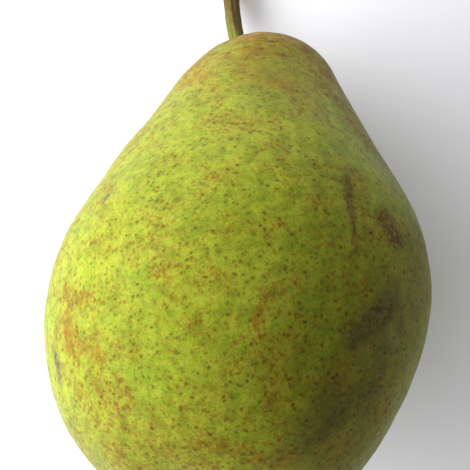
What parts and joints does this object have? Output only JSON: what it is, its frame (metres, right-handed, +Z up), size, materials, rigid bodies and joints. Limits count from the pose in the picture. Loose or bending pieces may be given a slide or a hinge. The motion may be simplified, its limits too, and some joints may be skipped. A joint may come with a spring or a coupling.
{
  "type": "pear",
  "caption": "Picked green pear lying on its side, with a drooping woody stem, a round head, a full belly and a dried calyx in its eye.",
  "frame": {"origin": "on the surface the pear lies on, below the middle of its overall box", "axes": "+Z up from that surface; +Y along the lying pear from its eye to its stem end; +X to the right when the eye is nearest"},
  "size_m": [0.076, 0.1122, 0.0766],
  "materials": {
    "pear_skin": "satin",
    "stem_bark": "matte",
    "dried_sepal": "matte",
    "dried_stamens": "matte"
  },
  "bodies": {
    "root": {"fruit": "pear_skin", "stem": "stem_bark", "sepal_1": "dried_sepal", "sepal_2": "dried_sepal", "sepal_3": "dried_sepal", "sepal_4": "dried_sepal", "sepal_5": "dried_sepal", "stamens": "dried_stamens"}
  },
  "joints": []
}
